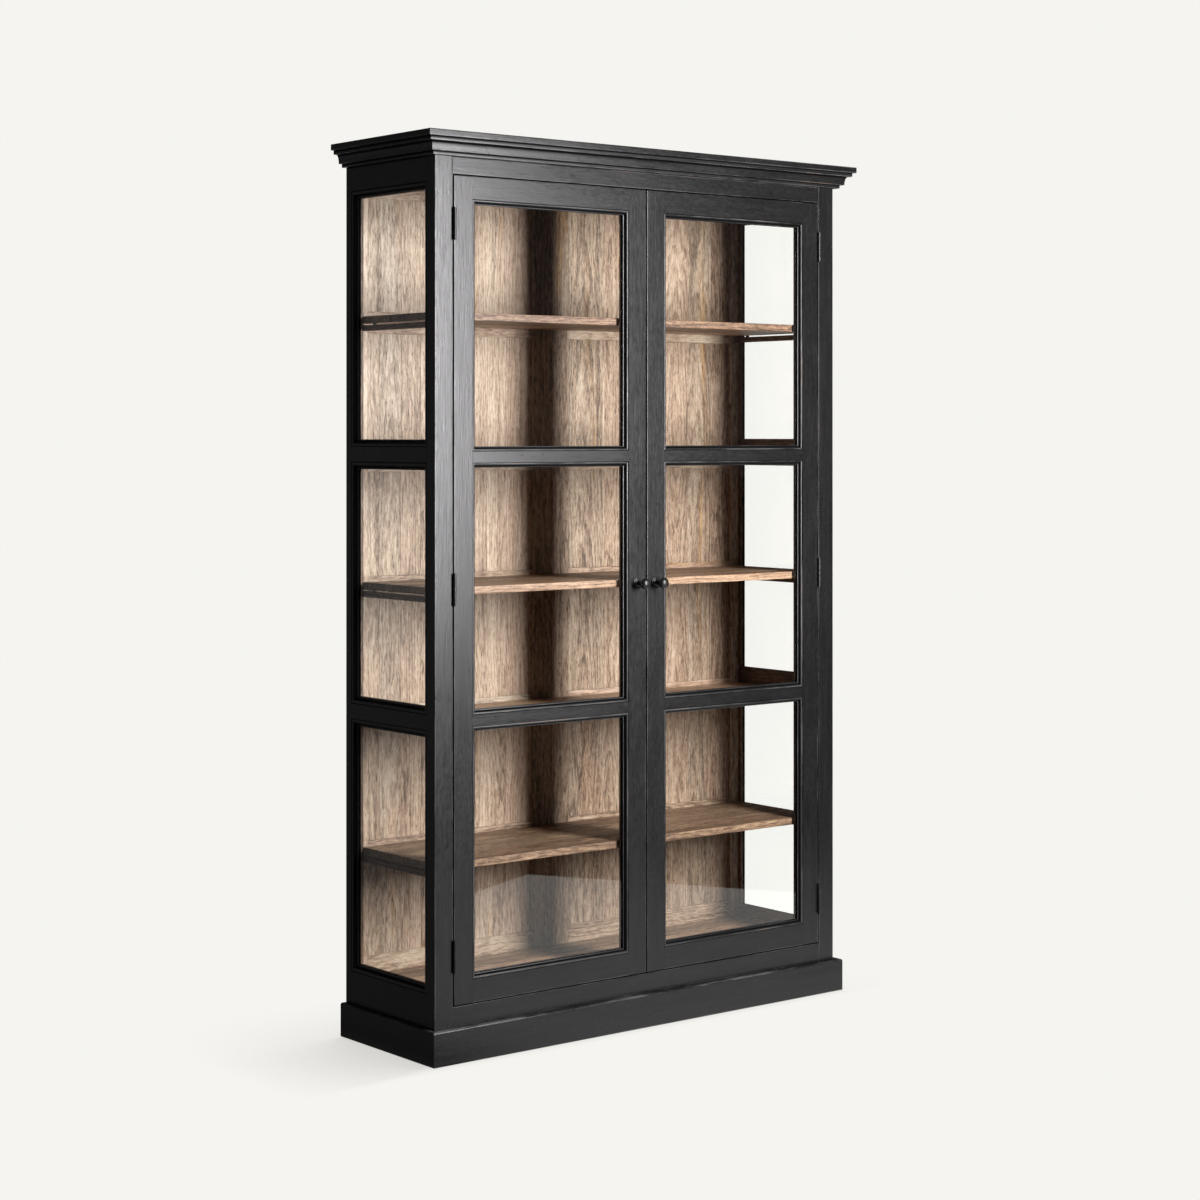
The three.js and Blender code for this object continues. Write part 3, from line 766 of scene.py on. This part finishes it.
def run_round(prefix, outline, corner_x, corner_y, back_y, radius, nodes, bands=()):
    """Front, left and right mouldings that meet in mitres.

    The outline gives (out, z), out being the distance beyond the case face.
    Each band sets the wear of a strip, as (least out, most out, lowest z,
    highest z, wear); below 0 the wear paints shade, above 0 rubbed paint with a painted highlight.
    """
    points, wear_and_shade = soften(outline, radius)
    for out0, out1, z0, z1, value in bands:
        for k, p in enumerate(points):
            if out0 < p.x < out1 and z0 < p.y < z1:
                wear_and_shade[k] = value
    gap = 0.15 * MM

    def front_end(side):
        return lambda out, z: Vector((side * (corner_x + out - gap), corner_y - out, z))

    part = Part()
    mitred(part, points, wear_and_shade, (front_end(-1), front_end(1)))
    part.build(prefix + "_front_run", CASE, ("black_paint",), (nodes[0],), 40)
    for (name, side), node in zip(SIDES, nodes[1:]):
        def mitre(out, z, side=side):
            return Vector((side * (corner_x + out), corner_y - out + gap, z))

        def tail(out, z, side=side):
            return Vector((side * (corner_x + out), back_y, z))

        part = Part()
        mitred(part, points, wear_and_shade, (mitre, tail))
        part.build(f"{prefix}_{name}_run", CASE, ("black_paint",), (node,), 40)


def add_cornice_and_plinth():
    low, high = box("side_frame_left")
    case_x, case_y, back_y = abs(low.x), low.y, high.y
    z0 = box("cornice_front")[0].z
    top = box("cornice_front")[1].z
    base = z0 - 0.3 * MM
    # A small step, a cove 22 mm high that runs out 7 mm, and two square steps.
    outline = [(-CORNICE_IN, z0), (13 * MM, z0), (13 * MM, base + 9 * MM), (22 * MM, base + 9 * MM)]
    steps = 9
    for i in range(1, steps + 1):
        angle = i / steps * math.pi / 2
        outline.append((22 * MM + 7 * MM * (1 - math.cos(angle)),
                        base + 9 * MM + 22 * MM * math.sin(angle)))
    outline += [(37 * MM, base + 31 * MM), (37 * MM, base + 41 * MM), (45 * MM, base + 41 * MM),
                (45 * MM, top), (-CORNICE_IN, top)]
    # Painted shade in the cornice's three quirks: a wear of -1 darkens them.
    shaded_quirks = [(0.0, out * MM, base + a * MM, base + b * MM, -1.0)
              for out, a, b in ((43.5, 39.6, 41.5), (36, 26.5, 31.5), (21, 7.5, 9.5))]
    run_round("cornice", outline, case_x, case_y, back_y, 0.8 * MM,
              ("cornice_front", "cornice_left", "cornice_right"), shaded_quirks)

    low, high = box("cornice_cover")
    part = Part()
    width = (high.x - low.x) / 3
    for k in range(3):
        x0 = low.x + k * width
        part.block((x0, low.y, high.z - COVER_T), (x0 + width, high.y, high.z), "y", 0.5 * MM)
    part.block((low.x, high.y - COVER_T, low.z), (high.x, high.y, high.z - COVER_T), "x",
               0.5 * MM)
    part.build("cornice_cover_boards", CASE, ("black_paint",), ("cornice_cover",))

    # Plinth: the side boards stand out less than the front one.
    zt = box("plinth_front")[1].z
    front_out = case_y - box("plinth_front")[0].y
    side_out = -case_x - box("plinth_left")[0].x
    r = PLINTH_ROUND
    shape = []
    for i in range(9):
        angle = i / 8 * math.pi / 2
        shape.append((r * math.cos(angle) - r, zt - r + r * math.sin(angle)))
    outline = [(-PLINTH_T, 0.0), (0.0, 0.0)] + shape + [(-PLINTH_T, zt)]
    # Its top rounding gets a wear of 0.7: rubbed paint with a painted highlight along it.
    run_round("plinth", outline, case_x + side_out, case_y - front_out, back_y, 1.2 * MM,
              ("plinth_front", "plinth_left", "plinth_right"),
              [(-r - 0.5 * MM, 0.5 * MM, zt - 4 * MM, zt + 1 * MM, 0.7)])
    add_board("plinth_back", "_board", ("black_paint",), "x", 1.0 * MM)

    for node in ("face_rail_top", "face_rail_bottom"):
        low, high = box(node)
        part = Part()
        lap = Vector((RAIL_LAP, 0.0, 0.0))
        # Its side toward the doors gets painted shade.
        part.block(low - lap, high + lap, "x", 0.8 * MM, rear_skin, tight={(0, 0), (0, 1)},
                   dark={(2, 0 if node == "face_rail_top" else 1)})
        part.build(node + "_board", CASE, ("black_paint", "case_wood"), (node,))


def add_glued_board(node, slot, strips):
    """A shelf or panel of strips glued edge to edge, grain along X."""
    low, high = box(node)
    part = Part()
    cuts = [0.0]
    for _ in range(strips - 1):
        cuts.append(cuts[-1] + RNG.uniform(0.75, 1.25))
    total = cuts[-1] + 1.0
    ys = [low.y + (high.y - low.y) * c / total for c in cuts] + [high.y]
    for y0, y1 in zip(ys, ys[1:]):
        part.block((low.x, y0, low.z), (high.x, y1, high.z), "x", 0.5 * MM)
    part.build(node + "_board", CASE, (slot,), (node,))


def add_inside():
    for node in ("floor_board", *(f"shelf_{k}" for k in range(1, 6))):
        add_glued_board(node, "shelf_wood", 3)
    add_glued_board("top_board", "case_wood", 3)
    r, tall, inset = CLEAT_BUTTON
    for name, _ in SIDES:
        for k in (1, 3, 5):
            node = f"cleat_{name}_{k}"
            low, high = box(node)
            bar_top = high.z - tall
            part = Part()
            part.block(low, (high.x, high.y, bar_top), "y", 0.8 * MM)
            middle = (low.x + high.x) / 2
            for y in (low.y + inset, high.y - inset):
                profile = [(0.0, -1 * MM), (r, -1 * MM), (r, tall - 1 * MM), (r - 1 * MM, tall),
                           (0.0, tall)]
                part.turned(profile, lambda p, y=y: Vector((middle, y, bar_top)) + p, 20)
            part.build(node + "_bar", CASE, ("case_wood",), (node,))

    # Planks of the back, in two panels, full height.
    for name, _ in SIDES:
        node = "back_planks_" + name
        low, high = box(node)
        part = Part()
        x = low.x
        while x < high.x - 1e-6:
            end = x + RNG.uniform(*PLANK_WIDTHS) * MM
            if high.x - end < PLANK_LEAST:
                end = high.x
            tones = (0.75, 1.0) if name == "left" else (0.05, 0.4)
            if x < LIGHT_PLANKS_X:
                tones = (0.3, 0.6)
            part.block((x, low.y, low.z), (end, high.y, high.z), "z", 0.35 * MM,
                       rear_skin, tones=tones)
            x = end
        part.build(node + "_boards", CASE, ("back_wood", "black_paint"), (node,))

    low, high = box("back_battens")
    joint = box("back_planks_left")[1].x + 0.6 * MM
    part = Part()
    stiles = [(low.x, BATTEN_OUTER[0]), (joint - BATTEN_MIDDLE, joint - BATTEN_JOINT),
              (joint + BATTEN_JOINT, joint + BATTEN_MIDDLE), (BATTEN_OUTER[1], high.x)]
    for x0, x1 in stiles:
        part.block((x0, low.y, low.z), (x1, high.y, high.z), "z", 0.8 * MM)
    rails = [(low.z, box("floor_board")[1].z + BATTEN_OVER_FLOOR), (high.z - BATTEN_TOP, high.z)]
    for k in range(1, 6):
        top = box(f"shelf_{k}")[1].z + BATTEN_OVER_SHELF
        rails.append((top - BATTEN_RAIL, top))
    for x0, x1 in ((stiles[0][1], stiles[1][0]), (stiles[2][1], stiles[3][0])):
        for z0, z1 in sorted(rails):
            part.block((x0, low.y, z0), (x1, high.y, z1), "x", 0.8 * MM)
    part.build("back_batten_grid", CASE, ("back_wood",), ("back_battens",))


# ------------------------------------------------------------------ fittings

# (radius, distance from the door's face) of the knob and its rose, in millimetres
KNOB = [
    (0, 0), (15, 0), (15, 1.6), (14.8, 2.1), (14.3, 2.4), (11.5, 2.6), (9.0, 2.8), (7.2, 3.6),
    (6.0, 5.4), (5.3, 7.2), (5.0, 9.5), (5.0, 15.5), (5.3, 18.0), (6.2, 20.2), (7.8, 21.8),
    (9.8, 23.2), (11.8, 25.0), (13.3, 27.3), (14.0, 30.0), (13.8, 32.6), (12.8, 35.2),
    (11.0, 37.5), (8.6, 39.2), (5.8, 40.2), (2.8, 40.7), (0, 40.8),
]


def screw(part, at, outward, radius=3.0 * MM):
    """A plain countersunk screw head, its middle 0.2 mm proud of the leaf."""
    side = Vector((0, 0, 1))
    other = outward.cross(side)

    def place(p):
        return at + side * p.x + other * p.y + outward * p.z

    profile = [(0.0, -0.4 * MM), (radius, -0.4 * MM), (radius, 0.0), (radius * 0.8, 0.16 * MM),
               (0.0, 0.2 * MM)]
    part.turned(profile, place, 20)


def add_hinge(name, side, level):
    case_node = f"hinge_{name}_{level}_case_leaf"
    door_node = f"hinge_{name}_{level}_door_leaf"
    low, high = box(case_node)
    radius, rim = KNUCKLE_R, KNUCKLE_RIM
    axis_x = frame_joint("door_" + name + "_hinge")[0]
    axis_y = low.y + radius
    step = (high.z - low.z) / 5
    for node, body, first, toward in ((case_node, CASE, 0, side),
                                      (door_node, "door_" + name, 1, -side)):
        part = Part()
        x0, x1 = (axis_x + toward * reach for reach in LEAF)
        left, right = min(x0, x1), max(x0, x1)
        for k in range(first, 5, 2):
            z0 = low.z + k * step + KNUCKLE_GAP
            z1 = z0 + step - 2 * KNUCKLE_GAP
            profile = [(0.0, z0), (radius - rim, z0), (radius, z0 + rim), (radius, z1 - rim),
                       (radius - rim, z1), (0.0, z1)]
            part.turned(profile, lambda p: Vector((axis_x + p.x, axis_y + p.y, p.z)), 32)
            web0, web1 = (axis_y + back for back in KNUCKLE_WEB)
            part.block((left, web0, z0), (right, web1, z1), "z", 0.1 * MM)
        part.block((left, axis_y + LEAF_START, low.z), (right, high.y, high.z), "z", 0.15 * MM)
        for dz, dy in SCREWS:
            at = Vector((x0, axis_y + dy * MM, (low.z + high.z) / 2 + dz * MM))
            screw(part, at, Vector((-toward, 0, 0)), 2.6 * MM)
        part.build(node + "_plate", body, ("black_iron",), (node,), 35)


def frame_joint(name):
    for joint in frame["record"]["behaviour"]["joints"]:
        if joint["name"] == name:
            return joint["pos_m"]
    raise KeyError(name)


def add_fittings():
    for name, side in SIDES:
        low, high = box("knob_" + name)
        centre = Vector(((low.x + high.x) / 2, high.y, (low.z + high.z) / 2))
        part = Part()
        part.turned([(r * MM, a * MM) for r, a in KNOB],
                    lambda p: centre + Vector((p.x, -p.z, p.y)), 48)
        part.build(f"knob_{name}_turned", "door_" + name, ("black_iron",), ("knob_" + name,), 60)
        for level in LEVELS:
            add_hinge(name, side, level)
        add_board("catch_plate_" + name, "_strip", ("zinc",), "x", 0.3 * MM, "door_" + name)
        node = "catch_body_" + name
        low, high = box(node)
        part = Part()
        part.block((low.x, low.y + 1 * MM, low.z), high, "x", 1.2 * MM)
        wide, deep, inset = CATCH_POLE
        for dx in CATCH_POLES:
            x0 = (low.x + high.x) / 2 + dx * MM
            part.block((x0, low.y, low.z + inset), (x0 + wide, low.y + deep, high.z - inset),
                       "z", 0.2 * MM)
        part.build(node + "_case", CASE, ("catch_plastic",), (node,))


# ------------------------------------------------------------------ stage

FLOOR_TONE = (0.913, 0.905, 0.871)
FLOOR_SHADE = (0.50, 0.49, 0.47)
LIT_FRONT = (-0.235, -0.10)             # in front of this stretch of Y there is no shade
SHEET_FRONT = (0.469, -1.553, -1.537)   # slope and soft edge of the mirrored sheet's front
SHEET_RIGHT = (0.597, -2.28, -2.266)    # the same of its right side
SHEET_LEFT = (-0.8, -0.2)               # where it fades in, along X
BESIDE = (-0.80, -0.70)                 # left of this stretch of X the mirrors get a grey


def add_stage():
    """A pale floor, with a painted soft shadow beside and behind the object, and a pale surround.
    """
    mesh = bpy.data.meshes.new("floor")
    half = 60.0
    corners = [(-half, -half, 0), (half, -half, 0), (half, half, 0), (-half, half, 0)]
    mesh.from_pydata([Vector(c) for c in corners], [], [(0, 1, 2, 3)])
    floor = bpy.data.objects.new("floor", mesh)
    bpy.context.scene.collection.objects.link(floor)
    floor.location.z = -0.5 * MM
    shade = Shade("floor")
    spot = shade.add("NewGeometry").outputs["Position"]
    near = shade.add("AmbientOcclusion", {"Distance": 0.40}, samples=16)
    # A normal tilted to the right puts more of the painted shadow on the floor at the left.
    lean = shade.add("CombineXYZ", {"X": 0.75, "Y": 0.25, "Z": 0.61}).outputs[0]
    shade.put(near.inputs["Normal"], lean)
    # Painted shadow: where the occlusion sees the object, the floor's glow darkens to the shade
    # colour.
    soft = shade.math("POWER", near.outputs["AO"], 0.9)
    x, y, _ = shade.add("SeparateXYZ", {0: spot}).outputs
    soft = shade.math("MAXIMUM", soft, shade.curve(y, *LIT_FRONT, 1.0, 0.0))
    colour = shade.mix(soft, FLOOR_SHADE, FLOOR_TONE)
    pale = shade.add("Emission", {"Color": colour, "Strength": 1.0})

    # What the glass mirrors: a pale sheet whose corner lies to the front right.
    front = shade.math("MULTIPLY_ADD", x, SHEET_FRONT[0], y)
    right = shade.math("MULTIPLY_ADD", y, SHEET_RIGHT[0], shade.math("MULTIPLY", x, -1.0))
    paper = shade.math("MULTIPLY", shade.curve(front, *SHEET_FRONT[1:]),
                       shade.curve(right, *SHEET_RIGHT[1:]))
    paper = shade.math("MULTIPLY", paper, shade.curve(x, *SHEET_LEFT))
    beside = shade.curve(x, *BESIDE, 1.0, 0.0)
    dark = shade.mix(beside, (0.004, 0.004, 0.004), (0.09, 0.09, 0.09))
    mirrored = shade.mix(paper, dark, FLOOR_TONE)
    glow = shade.add("Emission", {"Color": mirrored, "Strength": 1.0})
    matt = shade.add("BsdfDiffuse", {"Color": (0.05, 0.05, 0.05, 1.0)})
    path = shade.add("LightPath").outputs
    other = shade.add("MixShader", {0: path["Is Glossy Ray"], 1: matt.outputs[0],
                                    2: glow.outputs[0]})
    both = shade.add("MixShader", {0: path["Is Camera Ray"], 1: other.outputs[0],
                                   2: pale.outputs[0]})
    out = shade.add("OutputMaterial")
    shade.tree.links.new(both.outputs[0], out.inputs[0])
    mesh.materials.append(shade.mat)
    floor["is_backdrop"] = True

    # The camera sees a pale surround; mirrors and the lighting get a dark one.
    world = bpy.data.worlds.new("studio")
    bpy.context.scene.world = world
    world.use_nodes = True
    tree = world.node_tree
    tree.nodes.clear()
    seen = tree.nodes.new("ShaderNodeBackground")
    seen.inputs[0].default_value = (*FLOOR_TONE, 1.0)
    dim = tree.nodes.new("ShaderNodeBackground")
    dim.inputs[0].default_value = (0.045, 0.045, 0.046, 1.0)
    path = tree.nodes.new("ShaderNodeLightPath")
    pick = tree.nodes.new("ShaderNodeMixShader")
    done = tree.nodes.new("ShaderNodeOutputWorld")
    tree.links.new(path.outputs["Is Camera Ray"], pick.inputs[0])
    tree.links.new(dim.outputs[0], pick.inputs[1])
    tree.links.new(seen.outputs[0], pick.inputs[2])
    tree.links.new(pick.outputs[0], done.inputs[0])


def add_area(name, place, size, power, target):
    """A soft box at place, turned to the target."""
    lamp = bpy.data.lights.new(name, "AREA")
    lamp.shape = "RECTANGLE"
    lamp.size, lamp.size_y = size
    lamp.energy = power
    piece = bpy.data.objects.new(name, lamp)
    piece.location = place
    away = Vector(place) - Vector(target)
    piece.rotation_euler = away.to_track_quat("Z", "Y").to_euler()
    bpy.context.scene.collection.objects.link(piece)
    return piece


def spare_glass(lamp):
    """Keeps the mirror image of a lamp out of the panes, which it would blot out."""
    group = bpy.data.collections.new(lamp.name + "_links")
    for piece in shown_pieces():
        if piece.name.endswith("_pane"):
            group.objects.link(piece)
    for entry in group.collection_objects:
        entry.light_linking.link_state = "EXCLUDE"
    lamp.light_linking.receiver_collection = group


def add_camera():
    """The photograph's camera, fitted to the corners of the case."""
    camera = bpy.data.cameras.new("camera")
    camera.sensor_width = 36.0
    camera.lens = 74.48
    camera.shift_y = -0.1434
    piece = bpy.data.objects.new("camera", camera)
    piece.location = (-3.9907, -4.9763, 1.4856)
    piece.rotation_euler = Euler((math.radians(90.15), 0.0, math.radians(-38.62)))
    bpy.context.scene.collection.objects.link(piece)
    bpy.context.scene.camera = piece


add_sides()
add_doors()
add_cornice_and_plinth()
add_inside()
add_fittings()
add_stage()
spare_glass(add_area("key", (0.44, -2.4, 1.68), (0.6, 1.6), power=121, target=(0.0, -0.1, 1.2)))
add_area("fill", (0.5, -4.4, 0.9), (0.9, 0.9), power=5, target=(0.0, 0.0, 0.7))
add_area("side", (-5.0, 5.0, 1.4), (4.5, 3.5), power=4, target=(-0.6, 0.0, 1.0))
add_camera()
bpy.context.scene.view_settings.view_transform = "Standard"
